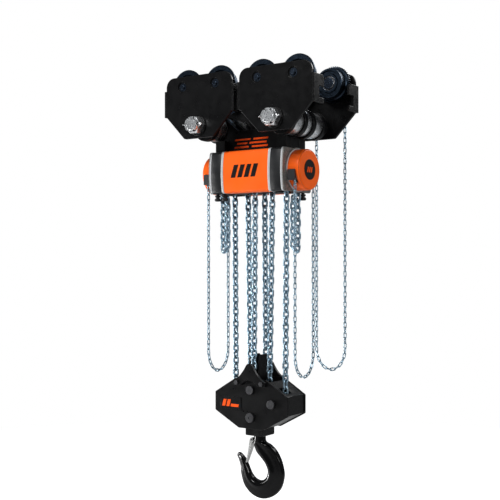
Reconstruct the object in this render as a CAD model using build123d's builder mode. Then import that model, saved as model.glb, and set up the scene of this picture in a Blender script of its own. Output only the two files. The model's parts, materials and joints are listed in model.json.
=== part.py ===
from build123d import *
import os
from math import acos, atan2, cos, degrees, pi, radians, sin, sqrt, tan

os.makedirs("parts", exist_ok=True)

# A hand-chain hoist for heavy loads, hung from two four-wheel trolleys that run on a beam's lower
# flange. Two mirrored-by-half-turn hoist units share one housing and one hook block.
# X runs along the beam, Y across it, Z up. The origin is on the top face of the lower flange,
# midway between the trolleys and under the beam's web. Millimetres.

# Trolleys
TROLLEY_X = 218.0  # trolley centre, and suspension shaft, from the middle
AXLE_X, AXLE_Z = 98.0, 70.0  # wheel axles from the trolley's centre and above the tread contact
TREAD_R, FLANGE_R = 70.0, 90.0
TREAD_IN, TREAD_OUT, WHEEL_OUT = 110.0, 154.0, 166.0  # distances from the web's plane
AXLE_R, BEARING_R, RUN_GAP = 20.0, 35.0, 0.05
PLATE_OUT, PLATE_T = 205.0, 16.0
PLATE_IN = PLATE_OUT - PLATE_T
PLATE_HALF, PLATE_TOP, PLATE_SHOULDER, PLATE_FOOT_HALF, PLATE_FOOT = 196.0, 119.0, -68.0, 85.0, -182.0
SHAFT_Z, SHAFT_R, SHAFT_END = -124.0, 30.0, 264.0
BRACKET_T, BRACKET_REACH, BRACKET_WEB = 12.0, 115.0, 156.0
WHEEL_TEETH, PINION_TEETH, DRIVE_MODULE = 48, 12, 3.5
DRIVE_DISTANCE = DRIVE_MODULE * (WHEEL_TEETH + PINION_TEETH) / 2
DRIVE_Z = AXLE_Z - sqrt(DRIVE_DISTANCE**2 - AXLE_X**2)
DRIVE_WHEEL_Y = 300.0

# Load frame between the trolleys' shafts and the hoist housing
FRAME_IN, FRAME_OUT, LUG_R, FRAME_FOOT = 25.0, 50.0, 70.0, -244.0

# Hoist housing
BODY_TOP, BODY_BOTTOM, BODY_Z = -245.0, -445.0, -345.0
BODY_HALF_Y, BODY_BULGE = 117.0, 10.0
COVER_X, TRIM_X, BAND_X, BODY_X, END_X = 128.0, 141.0, 199.0, 208.0, 213.0
SHEET = 3.0
HAND_X, HAND_R, HAND_COVER_R, HAND_COVER_END = 250.0, 81.0, 96.0, 280.0
LIFT_X, LIFT_R = 184.0, 48.0
IDLER_X, IDLER_Y, IDLER_R = 45.0, 32.0, 50.0
GEAR_MODULE, SMALL_TEETH, LARGE_TEETH = 1.5, 12, 42
GEAR_DISTANCE = GEAR_MODULE * (SMALL_TEETH + LARGE_TEETH) / 2
DRIVE_SHAFT_R = 7.0

# Hook block
SHEAVE_X, SHEAVE_Y, SHEAVE_R, SHEAVE_Z = 119.0, 30.0, 45.0, -1442.0
BLOCK_OUT, BLOCK_T = 79.0, 8.0
BLOCK_IN = BLOCK_OUT - BLOCK_T
TOP_PIN_Z, CROSSHEAD_Z, CROSSHEAD_FOOT = -1383.0, -1514.0, -1606.0
ANCHOR_Y, ANCHOR_PIN_Z = 52.0, -1340.0
SHANK_R, BOWL_Z, BOWL_R, HOOK_HALF_Y = 28.0, -1770.0, 56.0, 31.0
LATCH_X, LATCH_Z = -40.0, -1632.0

# Chains: wire diameter, pitch, outer width
LOAD_WIRE, LOAD_PITCH, LOAD_WIDTH = 10.0, 30.0, 34.0
HAND_WIRE, HAND_PITCH, HAND_WIDTH = 5.0, 25.0, 17.0
LOAD_CHAIN = (LOAD_WIRE, LOAD_PITCH, LOAD_WIDTH)
HAND_CHAIN = (HAND_WIRE, HAND_PITCH, HAND_WIDTH)
LINK_GAP = 0.3
FALL_TOP = -315.0  # upper ends of the falls, inside the housing
TAIL_FOOT, HAND_FOOT, DRIVE_FOOT = -728.0, -1312.0, -1306.0


def across(y):
    """A plane that faces -Y, with X to the right and Z up."""
    return Plane.XZ.offset(-y)


def along_x(x, y, z):
    """A plane whose own x is the +X axis of a wheel and whose own y is its radius, up."""
    return Plane(origin=(x, y, z), x_dir=(1, 0, 0), z_dir=(0, -1, 0))


def along_y(x, y, z):
    """A plane whose own x is the +Y axis of a wheel and whose own y is its radius, up."""
    return Plane(origin=(x, y, z), x_dir=(0, 1, 0), z_dir=(1, 0, 0))


def group(pieces, label):
    """Separate solids of one node."""
    solids = [solid for piece in pieces for solid in piece.solids()]
    whole = Compound(children=solids)
    whole.label = label
    return whole


def half_turn(piece):
    """The same piece turned half a turn about the hoist's vertical axis."""
    return piece.rotate(Axis.Z, 180)


def involute(angle):
    return tan(angle) - angle


def gear_outline(teeth, module, backlash=0.14):
    """Points of a stub-toothed involute gear, with a tooth centred on the first axis."""
    pitch_r = teeth * module / 2
    base_r = pitch_r * cos(radians(20))
    tip_r, root_r = pitch_r + 0.8 * module, pitch_r - 1.05 * module
    half_tooth = pi / (2 * teeth) - backlash * module / pitch_r

    def half_angle(r):
        pressure = acos(min(1.0, base_r / r))
        return half_tooth + involute(radians(20)) - involute(pressure)

    radii = [
        root_r, max(base_r, root_r + 0.01), (base_r + pitch_r) / 2, pitch_r, (pitch_r + tip_r) / 2, tip_r,
    ]
    radii = sorted(set(r for r in radii if r >= root_r))
    points = []
    for tooth in range(teeth):
        middle = 2 * pi * tooth / teeth
        flank = [(r, half_angle(r)) for r in radii]
        points += [(r * cos(middle - a), r * sin(middle - a)) for r, a in flank]
        points += [(r * cos(middle + a), r * sin(middle + a)) for r, a in reversed(flank)]
    return points


def mesh_turn(direction, first_turn, first_teeth, second_teeth):
    """How far a gear is turned, in radians, to mesh with another that lies against direction."""
    step = 2 * pi / first_teeth
    offset = (direction - first_turn) % step
    return direction + pi + offset * first_teeth / second_teeth - pi / second_teeth


def pins_along(points, pitch):
    """Points one pitch apart, in a straight line from each to the next, along a polyline."""
    pins, here, segment, t = [Vector(*points[0])], Vector(*points[0]), 0, 0.0
    while segment < len(points) - 1:
        a, b = Vector(*points[segment]), Vector(*points[segment + 1])
        run, back = b - a, a - here
        square, cross, rest = run.dot(run), run.dot(back), back.dot(back) - pitch * pitch
        reach = cross * cross - square * rest
        hit = (-cross + sqrt(reach)) / square if reach >= 0 else -1.0
        if t <= hit <= 1.0:
            here, t = a + run * hit, hit
            pins.append(here)
        else:
            segment, t = segment + 1, 0.0
    return pins


def chain(link, pins, width_dir, closed=False):
    """Interlocked links between the pins, every second one turned a quarter turn."""
    ends = pins + pins[:1] if closed else pins
    links = []
    for n, (a, b) in enumerate(zip(ends, ends[1:])):
        run = (b - a).normalized()
        flat = Vector(*width_dir)
        flat = (flat - run * flat.dot(run)).normalized()
        normal = flat if n % 2 else run.cross(flat)
        place = Plane(origin=(a + b) / 2, x_dir=run, z_dir=normal)
        links.append(place.location * link)
    return links


def chain_link(wire, pitch, width):
    """One welded link: two straight sides joined by round ends, lying flat, with its length along X."""
    bend = (width - wire) / 2
    side = (pitch + LINK_GAP + wire) / 2 - bend
    with BuildPart() as link:
        with BuildLine() as path:
            Line((-side, bend), (side, bend))
            ThreePointArc((side, bend), (side + bend, 0), (side, -bend))
            Line((side, -bend), (-side, -bend))
            ThreePointArc((-side, -bend), (-side - bend, 0), (-side, bend))
        with BuildSketch(Plane(origin=(-side, bend, 0), z_dir=(1, 0, 0))):
            Circle(wire / 2)
        sweep(path=path.line)
    return link.part


def chain_wheel_profile(pitch_r, wire, pitch, width, gap, flange_t, bore_r, hub_r, hub_half, web_half):
    """Half section of a wheel for chain, as (along the axis, radius): a slot for the links that
    stand in the wheel's plane, shelves for those that lie across it, and two flanges."""
    chord_r = sqrt(pitch_r**2 - (pitch / 2) ** 2)
    slot_r, shelf_r = chord_r - width / 2 - 1.5, chord_r - wire / 2 - 1.5
    flange_r = pitch_r + wire
    slot_half, shelf_half = 0.75 * wire, gap
    outer = shelf_half + flange_t
    rim_r = slot_r - 6
    half = [(slot_half, slot_r), (slot_half, shelf_r), (shelf_half, shelf_r), (shelf_half, flange_r)]
    if rim_r > hub_r + 10:
        half += [(outer, flange_r), (outer, rim_r), (web_half, rim_r - 3), (web_half, hub_r + 3)]
        half += [(hub_half, hub_r), (hub_half, bore_r)]
    else:
        half += [(outer, flange_r), (outer, bore_r)]
    return half + [(-a, r) for a, r in reversed(half)]


# ---------------------------------------------------------------- trolleys

for side_x, side_name in ((-1, "left"), (1, "right")):
    for side_y, face_name in ((-1, "front"), (1, "back")):
        driven = side_x > 0 and side_y > 0
        outer_face = PLATE_OUT if side_y > 0 else -PLATE_IN
        with BuildPart() as side_plate:
            with BuildSketch(across(outer_face)) as outline:
                with Locations((side_x * TROLLEY_X, 0)):
                    Polygon(
                        (-PLATE_HALF, PLATE_SHOULDER), (-PLATE_FOOT_HALF, PLATE_FOOT),
                        (PLATE_FOOT_HALF, PLATE_FOOT), (PLATE_HALF, PLATE_SHOULDER),
                        (PLATE_HALF, PLATE_TOP), (-PLATE_HALF, PLATE_TOP), align=None,
                    )
                fillet(outline.vertices().group_by(Axis.Y)[-1], radius=45)
                fillet(outline.vertices().group_by(Axis.Y)[0], radius=14)
                with Locations((side_x * TROLLEY_X, SHAFT_Z)):
                    Circle(SHAFT_R, mode=Mode.SUBTRACT)
                with Locations(*[(side_x * TROLLEY_X + s * AXLE_X, AXLE_Z) for s in (-1, 1)]):
                    Circle(AXLE_R, mode=Mode.SUBTRACT)
                if driven:
                    with Locations((side_x * TROLLEY_X, DRIVE_Z)):
                        Circle(25, mode=Mode.SUBTRACT)
            extrude(amount=PLATE_T)
            recess_face = PLATE_OUT if side_y > 0 else -PLATE_OUT + 6
            with BuildSketch(across(recess_face)):
                with Locations(*[(side_x * TROLLEY_X + s * AXLE_X, AXLE_Z) for s in (-1, 1)]):
                    Circle(26)
            extrude(amount=6, mode=Mode.SUBTRACT)
            outside = side_plate.faces().filter_by(Axis.Y).sort_by(Axis.Y)[-1 if side_y > 0 else 0]
            chamfer(outside.outer_wire().edges(), length=1.5)
        side_plate.part.label = f"{side_name}_{face_name}_side_plate"
        export_step(side_plate.part, f"parts/{side_plate.part.label}.step")

# C-shaped brackets on both ends of every side plate. They reach over and under the flange's edge.
brackets = []
for side_y in (-1, 1):
    for trolley in (-1, 1):
        for end in (-1, 1):
            low_x = trolley * TROLLEY_X + (PLATE_HALF if end > 0 else -PLATE_HALF - BRACKET_T)
            with BuildPart() as bracket:
                with BuildSketch(Plane.YZ.offset(low_x)) as outline:
                    Polygon(
                        (side_y * PLATE_OUT, -69), (side_y * PLATE_OUT, 58),
                        (side_y * (BRACKET_REACH + 12), 58), (side_y * BRACKET_REACH, 46),
                        (side_y * BRACKET_REACH, 5), (side_y * BRACKET_WEB, 5),
                        (side_y * BRACKET_WEB, -45), (side_y * BRACKET_REACH, -45),
                        (side_y * BRACKET_REACH, -63), (side_y * (BRACKET_REACH + 6), -69), align=None,
                    )
                extrude(amount=BRACKET_T)
                chamfer(bracket.faces().sort_by(Axis.X)[-1 if end > 0 else 0].edges(), length=1.2)
            brackets.append(bracket.part)
anti_drop_brackets = group(brackets, "anti_drop_brackets")
export_step(anti_drop_brackets, "parts/anti_drop_brackets.step")

axles, retainers, bearings = [], [], []
for side_y in (-1, 1):
    for trolley in (-1, 1):
        for end in (-1, 1):
            spot = along_y(trolley * TROLLEY_X + end * AXLE_X, 0, AXLE_Z)
            centre = (spot.origin.X, 0, AXLE_Z)
            with BuildPart() as axle:
                with BuildSketch(spot):
                    Polygon(
                        (side_y * 109, 0), (side_y * 109, AXLE_R - 1), (side_y * 110, AXLE_R),
                        (side_y * 167, AXLE_R), (side_y * 167, 30), (side_y * PLATE_IN, 30),
                        (side_y * PLATE_IN, AXLE_R), (side_y * 199, AXLE_R), (side_y * 199, 0), align=None,
                    )
                revolve(axis=Axis(centre, (0, 1, 0)))
            axles.append(axle.part)
            with BuildPart() as bearing:
                with BuildSketch(spot):
                    Polygon(
                        (side_y * 113, AXLE_R), (side_y * 113, 24), (side_y * 115, 26), (side_y * 115, 31),
                        (side_y * 113, 33), (side_y * 113, BEARING_R - RUN_GAP),
                        (side_y * 163, BEARING_R - RUN_GAP),
                        (side_y * 163, 33), (side_y * 161, 31), (side_y * 161, 26), (side_y * 163, 24),
                        (side_y * 163, AXLE_R), align=None,
                    )
                revolve(axis=Axis(centre, (0, 1, 0)))
            bearings.append(bearing.part)
            with BuildPart() as inner_cap:
                with BuildSketch(spot):
                    Polygon(
                        (side_y * 109, 0), (side_y * 109, 27), (side_y * 107, 27), (side_y * 105, 25),
                        (side_y * 105, 12), (side_y * 101, 10), (side_y * 101, 0), align=None,
                    )
                revolve(axis=Axis(centre, (0, 1, 0)))
            with BuildPart() as outer_bolt:
                with BuildSketch(across(206 if side_y > 0 else -199)):
                    with Locations((spot.origin.X, AXLE_Z)):
                        RegularPolygon(radius=12, side_count=6)
                extrude(amount=7)
                chamfer(outer_bolt.faces().sort_by(Axis.Y)[-1 if side_y > 0 else 0].edges(), length=1.5)
            retainers += [inner_cap.part, outer_bolt.part]
wheel_axles = group(axles, "wheel_axles")
export_step(wheel_axles, "parts/wheel_axles.step")
wheel_bearings = group(bearings, "wheel_bearings")
export_step(wheel_bearings, "parts/wheel_bearings.step")
axle_retainers = group(retainers, "axle_retainers")
export_step(axle_retainers, "parts/axle_retainers.step")

# Trolley wheels: the two at the back of the right trolley have gear teeth for a flange.
pinion_turn = pi / 2
for side_y, face_name in ((-1, "front"), (1, "back")):
    for trolley, side_name in ((-1, "left"), (1, "right")):
        for end in (-1, 1):
            driven = trolley > 0 and side_y > 0
            spot = along_y(trolley * TROLLEY_X + end * AXLE_X, 0, AXLE_Z)
            rim_r = DRIVE_MODULE * (WHEEL_TEETH / 2 - 2.2) if driven else FLANGE_R
            rim_out = 172.0 if driven else WHEEL_OUT
            with BuildPart() as wheel:
                with BuildSketch(spot):
                    Polygon(
                        (side_y * TREAD_IN, BEARING_R), (side_y * TREAD_IN, 45), (side_y * 116, 48),
                        (side_y * 116, 57), (side_y * TREAD_IN, 60), (side_y * TREAD_IN, TREAD_R - 2),
                        (side_y * (TREAD_IN + 2), TREAD_R), (side_y * (TREAD_OUT - 4), TREAD_R),
                        (side_y * TREAD_OUT, TREAD_R + 4), (side_y * TREAD_OUT, rim_r - 3),
                        (side_y * (TREAD_OUT + 3), rim_r), (side_y * (rim_out - 3), rim_r),
                        (side_y * rim_out, rim_r - 3), (side_y * rim_out, 66), (side_y * 158, 62),
                        (side_y * 158, 47), (side_y * 166, 44), (side_y * 166, BEARING_R), align=None,
                    )
                revolve(axis=Axis((spot.origin.X, 0, AXLE_Z), (0, 1, 0)))
                if driven:
                    direction = atan2(AXLE_Z - DRIVE_Z, end * AXLE_X)
                    turn = mesh_turn(direction, pinion_turn, PINION_TEETH, WHEEL_TEETH)
                    with BuildSketch(across(rim_out)):
                        with Locations((spot.origin.X, AXLE_Z)):
                            Polygon(
                                *gear_outline(WHEEL_TEETH, DRIVE_MODULE), align=None, rotation=degrees(turn)
                            )
                            Circle(72, mode=Mode.SUBTRACT)
                    extrude(amount=rim_out - TREAD_OUT)
            label = f"{side_name}_{face_name}_wheel_{1 if end < 0 else 2}"
            wheel.part.label = label.replace("right_back", "driven")
            export_step(wheel.part, f"parts/{wheel.part.label}.step")

# ---------------------------------------------------------------- suspension shafts and load frame

shafts, nuts, cotters, spacers, washers = [], [], [], [], []
COTTER_Y = 256.0
for trolley in (-1, 1):
    x = trolley * TROLLEY_X
    with BuildPart() as shaft:
        with BuildSketch(across(SHAFT_END)):
            with Locations((x, SHAFT_Z)):
                Circle(SHAFT_R)
        extrude(amount=2 * SHAFT_END)
        chamfer(shaft.edges().filter_by(GeomType.CIRCLE), length=3)
        with BuildSketch(Plane.YZ.offset(x - SHAFT_R)):
            with Locations((COTTER_Y, SHAFT_Z), (-COTTER_Y, SHAFT_Z)):
                Circle(3.6)
        extrude(amount=2 * SHAFT_R, mode=Mode.SUBTRACT)
    shafts.append(shaft.part)
    for low, high, radius in ((-FRAME_IN, FRAME_IN, 63), (-120, -FRAME_OUT, 63), (FRAME_OUT, 120, 63)):
        with BuildPart() as spacer:
            with BuildSketch(across(high)):
                with Locations((x, SHAFT_Z)):
                    Circle(radius)
                    Circle(SHAFT_R, mode=Mode.SUBTRACT)
            extrude(amount=high - low)
            rims = spacer.faces().filter_by(Axis.Y).edges().filter_by(lambda e: e.radius > SHAFT_R + 1)
            chamfer(rims, length=3)
        spacers.append(spacer.part)
    for side_y in (-1, 1):
        for near, far, radius in ((120, 150, 68), (150, 163, 50), (163, 176, 50), (176, PLATE_IN, 50),
                                  (PLATE_OUT, 212, 48)):
            with BuildPart() as washer:
                with BuildSketch(across(max(side_y * near, side_y * far))):
                    with Locations((x, SHAFT_Z)):
                        Circle(radius)
                        Circle(SHAFT_R, mode=Mode.SUBTRACT)
                extrude(amount=far - near)
                rims = washer.faces().filter_by(Axis.Y).edges().filter_by(lambda e: e.radius > SHAFT_R + 1)
                chamfer(rims, length=1.2)
            washers.append(washer.part)
        with BuildPart() as nut:
            with BuildSketch(across(250 if side_y > 0 else -212)):
                with Locations((x, SHAFT_Z)):
                    RegularPolygon(radius=45, side_count=6)
                    Circle(SHAFT_R, mode=Mode.SUBTRACT)
            extrude(amount=38)
            with BuildSketch(across(262 if side_y > 0 else -250)):
                with Locations((x, SHAFT_Z)):
                    Circle(37)
                    Circle(SHAFT_R, mode=Mode.SUBTRACT)
                    with PolarLocations(0, 3):
                        Rectangle(100, 8, mode=Mode.SUBTRACT)
            extrude(amount=12)
            with BuildSketch(along_y(x, 0, SHAFT_Z)):
                Polygon(
                    (side_y * 212, 40), (side_y * 216, 47), (side_y * 236, 47), (side_y * 252, 37),
                    (side_y * 252, 60), (side_y * 211, 60), (side_y * 211, 40), align=None,
                )
            revolve(axis=Axis((x, 0, SHAFT_Z), (0, 1, 0)), mode=Mode.SUBTRACT)
        nuts.append(nut.part)
        with BuildPart() as cotter:
            with BuildSketch(Plane.YZ.offset(x - 47)):
                with Locations((side_y * COTTER_Y, SHAFT_Z)):
                    Circle(3.2)
            extrude(amount=94)
            with BuildSketch(Plane(origin=(x + 53, side_y * COTTER_Y + 7.5, SHAFT_Z), z_dir=(1, 0, 0))):
                Circle(3.0)
            revolve(axis=Axis((x + 53, side_y * COTTER_Y, SHAFT_Z), (0, 0, 1)))
        cotters.append(cotter.part)
suspension_shafts = group(shafts, "suspension_shafts")
export_step(suspension_shafts, "parts/suspension_shafts.step")
shaft_spacers = group(spacers, "shaft_spacers")
export_step(shaft_spacers, "parts/shaft_spacers.step")
shaft_washers = group(washers, "shaft_washers")
export_step(shaft_washers, "parts/shaft_washers.step")
castle_nuts = group(nuts, "castle_nuts")
export_step(castle_nuts, "parts/castle_nuts.step")
cotter_pins = group(cotters, "cotter_pins")
export_step(cotter_pins, "parts/cotter_pins.step")

frame_pieces = []
for high in (-FRAME_IN, FRAME_OUT):
    with BuildPart() as frame_plate:
        with BuildSketch(across(high)):
            Polygon(
                (-208, FRAME_FOOT), (208, FRAME_FOOT), (208, -185), (278, -160), (240, -58), (196, -58),
                (96, -140),
                (-96, -140), (-196, -58), (-240, -58), (-278, -160), (-208, -185), align=None,
            )
            with Locations(*[(t * TROLLEY_X, SHAFT_Z) for t in (-1, 1)]):
                Circle(LUG_R)
            with Locations(*[(t * TROLLEY_X, SHAFT_Z) for t in (-1, 1)]):
                Circle(SHAFT_R, mode=Mode.SUBTRACT)
        extrude(amount=FRAME_OUT - FRAME_IN)
        chamfer(frame_plate.faces().filter_by(Axis.Y).sort_by(Axis.Y)[0].outer_wire().edges(), length=1.5)
    frame_pieces.append(frame_plate.part)
frame_plates = group(frame_pieces, "frame_plates")
export_step(frame_plates, "parts/frame_plates.step")

with BuildPart() as frame_cross_members:
    for low_y, high_y in ((-FRAME_IN, FRAME_IN), (-82, -FRAME_OUT), (FRAME_OUT, 82)):
        with BuildSketch(across(high_y)):
            with Locations((-177.5, FRAME_FOOT + 28), (177.5, FRAME_FOOT + 28)):
                RectangleRounded(55, 56, 4)
        extrude(amount=high_y - low_y)
frame_cross_members.part.label = "frame_cross_members"
export_step(frame_cross_members.part, "parts/frame_cross_members.step")

# ---------------------------------------------------------------- trolley drive

DRIVE_TUBE_END = 282.0
with BuildPart() as trolley_drive_housing:
    with BuildSketch(along_y(TROLLEY_X, 0, DRIVE_Z)):
        Polygon(
            (PLATE_IN, 13 + RUN_GAP), (PLATE_IN, 25), (PLATE_OUT, 25), (PLATE_OUT, 52), (215, 52), (221, 30),
            (DRIVE_TUBE_END - 4, 24), (DRIVE_TUBE_END, 24), (DRIVE_TUBE_END, 13 + RUN_GAP), align=None,
        )
    revolve(axis=Axis((TROLLEY_X, 0, DRIVE_Z), (0, 1, 0)))
    with BuildSketch(across(221)):
        with Locations((TROLLEY_X, DRIVE_Z)):
            with PolarLocations(42, 4, start_angle=45):
                RegularPolygon(radius=9, side_count=6)
    extrude(amount=8)
trolley_drive_housing.part.label = "trolley_drive_housing"
export_step(trolley_drive_housing.part, "parts/trolley_drive_housing.step")

with BuildPart() as trolley_pinion_shaft:
    with BuildSketch(across(174)):
        with Locations((TROLLEY_X, DRIVE_Z)):
            Polygon(*gear_outline(PINION_TEETH, DRIVE_MODULE), align=None, rotation=degrees(pinion_turn))
    extrude(amount=22)
    with BuildSketch(across(318)):
        with Locations((TROLLEY_X, DRIVE_Z)):
            Circle(13)
    extrude(amount=318 - 174)
    with BuildSketch(across(330)):
        with Locations((TROLLEY_X, DRIVE_Z)):
            RegularPolygon(radius=16, side_count=6)
    extrude(amount=12)
trolley_pinion_shaft.part.label = "trolley_pinion_shaft"
export_step(trolley_pinion_shaft.part, "parts/trolley_pinion_shaft.step")

with BuildPart() as trolley_hand_wheel:
    with BuildSketch(along_y(TROLLEY_X, DRIVE_WHEEL_Y, DRIVE_Z)):
        Polygon(*chain_wheel_profile(HAND_R, *HAND_CHAIN, 9.5, 3, 13, 24, 16, 4), align=None)
    revolve(axis=Axis((TROLLEY_X, 0, DRIVE_Z), (0, 1, 0)))
    with BuildSketch(across(DRIVE_WHEEL_Y + 20)):
        with Locations((TROLLEY_X, DRIVE_Z)):
            with PolarLocations(43, 5):
                Circle(11)
    extrude(amount=40, mode=Mode.SUBTRACT)
trolley_hand_wheel.part.label = "trolley_hand_wheel"
export_step(trolley_hand_wheel.part, "parts/trolley_hand_wheel.step")

# ---------------------------------------------------------------- hoist housing


def body_outline(inset=0.0):
    """The housing's section across the beam: flat top and bottom, gently bowed front and back."""
    half_y, half_z = BODY_HALF_Y - inset, (BODY_TOP - BODY_BOTTOM) / 2 - inset
    with BuildSketch() as section:
        with BuildLine():
            Line((-half_y, -half_z), (half_y, -half_z))
            ThreePointArc((half_y, -half_z), (half_y + BODY_BULGE, 0), (half_y, half_z))
            Line((half_y, half_z), (-half_y, half_z))
            ThreePointArc((-half_y, half_z), (-half_y - BODY_BULGE, 0), (-half_y, -half_z))
        make_face()
        fillet(section.vertices(), radius=14 - inset)
    return section.sketch


def body_plane(x):
    return Plane(origin=(x, 0, BODY_Z), x_dir=(0, 1, 0), z_dir=(1, 0, 0))


SEAM_Y = 70.0
for side_y, face_name in ((-1, "front"), (1, "back")):
    with BuildPart() as body_cover:
        with BuildSketch(body_plane(-COVER_X)):
            add(body_outline())
            add(body_outline(SHEET), mode=Mode.SUBTRACT)
            with Locations((side_y * (SEAM_Y - 200), 0)):
                Rectangle(400, 300, mode=Mode.SUBTRACT)
        extrude(amount=2 * COVER_X)
    body_cover.part.label = f"body_{face_name}_cover"
    export_step(body_cover.part, f"parts/{body_cover.part.label}.step")

rings = {"body_trims": [], "body_bands": []}
for low_x, high_x, name, proud in (
    (COVER_X, TRIM_X, "body_trims", 1.0), (TRIM_X, BAND_X, "body_bands", 0.0),
    (BAND_X, BODY_X, "body_trims", 1.0),
):
    for side in (-1, 1):
        with BuildPart() as ring:
            with BuildSketch(body_plane(low_x if side > 0 else -high_x)):
                add(body_outline(-proud))
                add(body_outline(SHEET + 1), mode=Mode.SUBTRACT)
                with Locations((0, -100)):
                    Rectangle(2 * 76, 40, mode=Mode.SUBTRACT)
            extrude(amount=high_x - low_x)
        rings[name].append(ring.part)
body_trims = group(rings["body_trims"], "body_trims")
export_step(body_trims, "parts/body_trims.step")
body_bands = group(rings["body_bands"], "body_bands")
export_step(body_bands, "parts/body_bands.step")

FALL_HOLE = 46.0
with BuildPart() as top_plate:
    with BuildSketch(Plane.XY.offset(BODY_TOP - 10)):
        Rectangle(2 * COVER_X - 1, 2 * SEAM_Y)
    extrude(amount=10)
with BuildPart() as bottom_plate:
    with BuildSketch(Plane.XY.offset(BODY_BOTTOM)):
        Rectangle(2 * COVER_X - 1, 2 * SEAM_Y)
        with Locations((-95, IDLER_Y), (6, IDLER_Y), (95, -IDLER_Y), (-6, -IDLER_Y)):
            RectangleRounded(FALL_HOLE, FALL_HOLE, 10, mode=Mode.SUBTRACT)
    extrude(amount=8)
body_plates = group([top_plate.part, bottom_plate.part], "body_plates")
export_step(body_plates, "parts/body_plates.step")

ends = []
JOURNAL_R = 16.0
for side in (-1, 1):
    low_x = BODY_X if side > 0 else -END_X
    with BuildPart() as end_plate:
        with BuildSketch(body_plane(low_x)):
            add(body_outline(-1))
            Circle(JOURNAL_R + RUN_GAP, mode=Mode.SUBTRACT)
        extrude(amount=END_X - BODY_X)
        with BuildSketch(body_plane(END_X if side > 0 else -END_X - 4)):
            Circle(106)
            Circle(HAND_COVER_R, mode=Mode.SUBTRACT)
        extrude(amount=4)
        with BuildSketch(body_plane(END_X if side > 0 else -END_X - 3)):
            with Locations((-108, -82), (108, -82), (-108, 82), (108, 82)):
                RegularPolygon(radius=7, side_count=6)
        extrude(amount=3)
    ends.append(end_plate.part)
end_plates = group(ends, "end_plates")
export_step(end_plates, "parts/end_plates.step")

covers, guides = [], []
for side in (-1, 1):
    with BuildPart() as wheel_cover:
        with BuildSketch(body_plane(END_X if side > 0 else -HAND_COVER_END)):
            Circle(HAND_COVER_R)
        extrude(amount=HAND_COVER_END - END_X)
        outer_rim = wheel_cover.edges().filter_by(GeomType.CIRCLE).sort_by(Axis.X)[-1 if side > 0 else 0]
        fillet(outer_rim, radius=11)
        with BuildSketch(body_plane(END_X if side > 0 else -HAND_COVER_END + SHEET)):
            Circle(HAND_COVER_R - SHEET)
        extrude(amount=HAND_COVER_END - SHEET - END_X, mode=Mode.SUBTRACT)
        with BuildSketch(body_plane(side * HAND_X - 12)):
            with Locations((-84, -55), (84, -55)):
                Rectangle(30, 66)
        extrude(amount=24, mode=Mode.SUBTRACT)
    covers.append(wheel_cover.part)
    for side_y in (-1, 1):
        with BuildPart() as guide:
            with BuildSketch(body_plane(225 if side > 0 else -262)):
                with Locations((side_y * 92, -28.5)):
                    Rectangle(26, 49)
                Circle(HAND_COVER_R, mode=Mode.SUBTRACT)
            extrude(amount=37)
            with BuildSketch(body_plane(side * HAND_X - 12.5)):
                with Locations((side_y * 81, -40)):
                    Rectangle(23, 90)
            extrude(amount=25, mode=Mode.SUBTRACT)
        guides.append(guide.part)
hand_wheel_covers = group(covers, "hand_wheel_covers")
export_step(hand_wheel_covers, "parts/hand_wheel_covers.step")
chain_guides = group(guides, "chain_guides")
export_step(chain_guides, "parts/chain_guides.step")

stops = []
for x, y in ((-190, -85), (-147, -85), (190, 85), (147, 85)):
    with BuildPart() as stop:
        with BuildSketch(along_x(x, y, BODY_BOTTOM - 1)):
            Polygon(
                (0, 0), (8, 0), (8, -5), (13.5, -6), (13.5, -14), (9, -15), (9, -19), (14, -21), (15.5, -25),
                (15.5, -30), (13.5, -33.5), (9, -34.5), (0, -34.5), align=None,
            )
        revolve(axis=Axis((x, y, BODY_BOTTOM), (0, 0, 1)))
    stops.append(stop.part)
chain_stops = group(stops, "chain_stops")
export_step(chain_stops, "parts/chain_stops.step")

# ---------------------------------------------------------------- hoist works

LAY_Z = BODY_Z + GEAR_DISTANCE
LIFT_GEAR_IN, LIFT_GEAR_OUT = 148.0, 162.0  # the gear beside the lift wheel
LAY_GEAR_IN, LAY_GEAR_OUT = 133.0, 145.0
GEAR_PLATE_IN, GEAR_PLATE_OUT = 120.0, 128.0
small_turn = pi / 2
large_turn = mesh_turn(pi / 2, small_turn, SMALL_TEETH, LARGE_TEETH)
lay_small_turn = mesh_turn(pi / 2, pi / 2, LARGE_TEETH, SMALL_TEETH)

with BuildPart() as lift_wheel:
    with BuildSketch(along_x(-LIFT_X, 0, BODY_Z)):
        Polygon(*chain_wheel_profile(LIFT_R, *LOAD_CHAIN, 20.2, 2.7,
                                     DRIVE_SHAFT_R + RUN_GAP, 15, 22.5, 22.5), align=None)
    revolve(axis=Axis((0, 0, BODY_Z), (1, 0, 0)))
    with BuildSketch(body_plane(-END_X)):
        Circle(JOURNAL_R)
        Circle(DRIVE_SHAFT_R + RUN_GAP, mode=Mode.SUBTRACT)
    extrude(amount=END_X - LIFT_X - 22)
    with BuildSketch(body_plane(-LIFT_GEAR_OUT)):
        Polygon(*gear_outline(LARGE_TEETH, GEAR_MODULE), align=None, rotation=90)
        Circle(DRIVE_SHAFT_R + RUN_GAP, mode=Mode.SUBTRACT)
    extrude(amount=LIFT_GEAR_OUT - LIFT_GEAR_IN)
lift_wheel.part.label = "left_lift_wheel"
export_step(lift_wheel.part, "parts/left_lift_wheel.step")

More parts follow.
